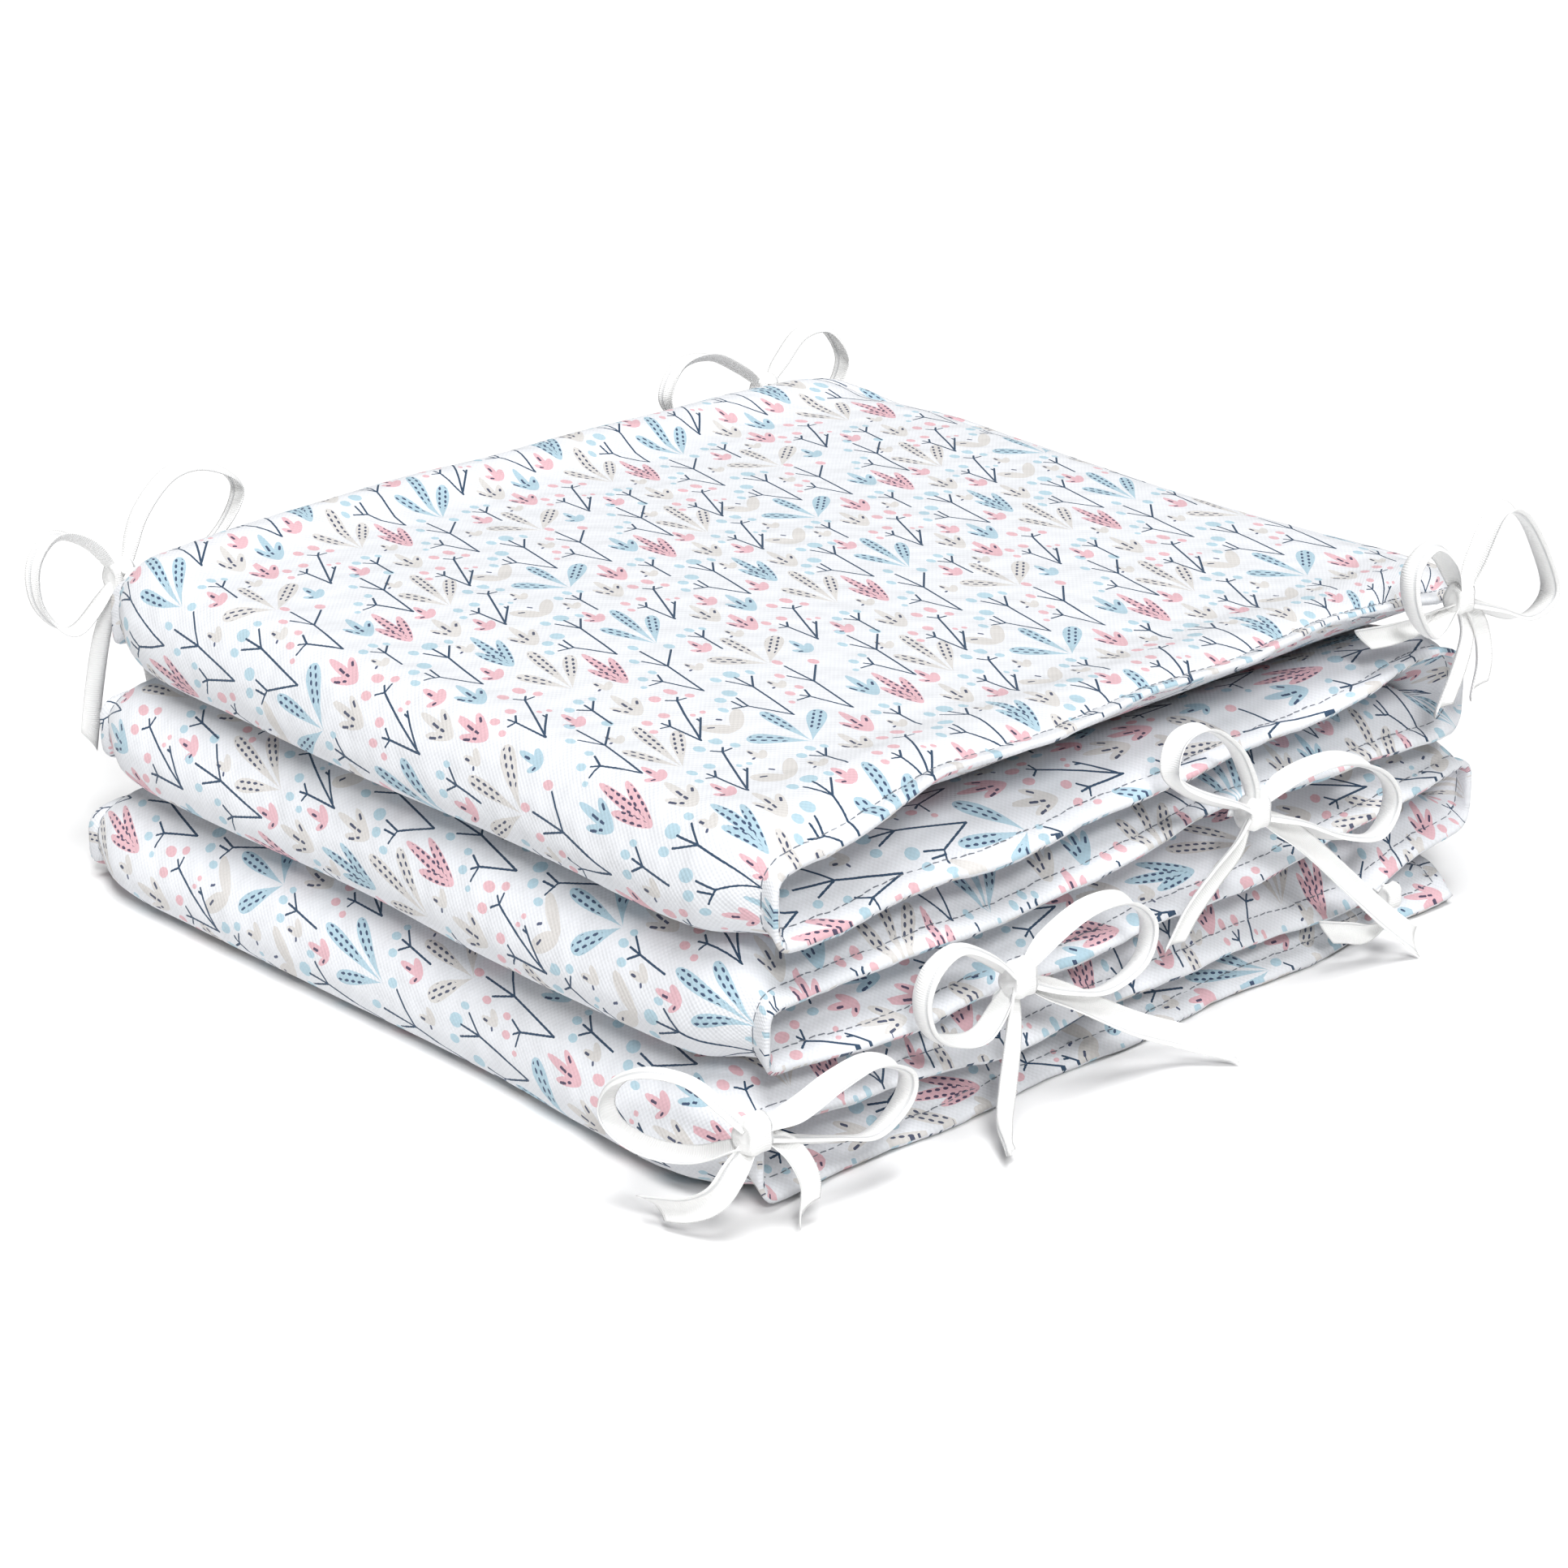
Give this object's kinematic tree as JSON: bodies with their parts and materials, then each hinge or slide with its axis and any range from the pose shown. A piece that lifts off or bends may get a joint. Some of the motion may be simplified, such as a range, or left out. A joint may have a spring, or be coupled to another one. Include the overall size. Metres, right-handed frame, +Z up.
{
  "type": "crib bumper",
  "caption": "Padded fabric crib bumper, seamed all round and folded back and forth into a square stack, with tape ties in bows along its long seams.",
  "frame": {"origin": "middle of the flat underside of the lowest layer, on the surface that it rests on", "axes": "+X along the folded layers, towards the band's two free ends; -Y towards the front long seam; +Z up through the layers"},
  "size_m": [0.3636, 0.351, 0.1332],
  "materials": {
    "printed_cotton": "matte printed plain weave",
    "cotton_tape": "matte woven tape"
  },
  "bodies": {
    "root": {"pad": "printed_cotton", "tie_front_corner": "cotton_tape", "tie_front_middle": "cotton_tape", "tie_front_right": "cotton_tape", "tie_top_end": "cotton_tape", "tie_low_right": "cotton_tape", "tie_back_corner": "cotton_tape", "tie_back_end": "cotton_tape"}
  },
  "joints": []
}
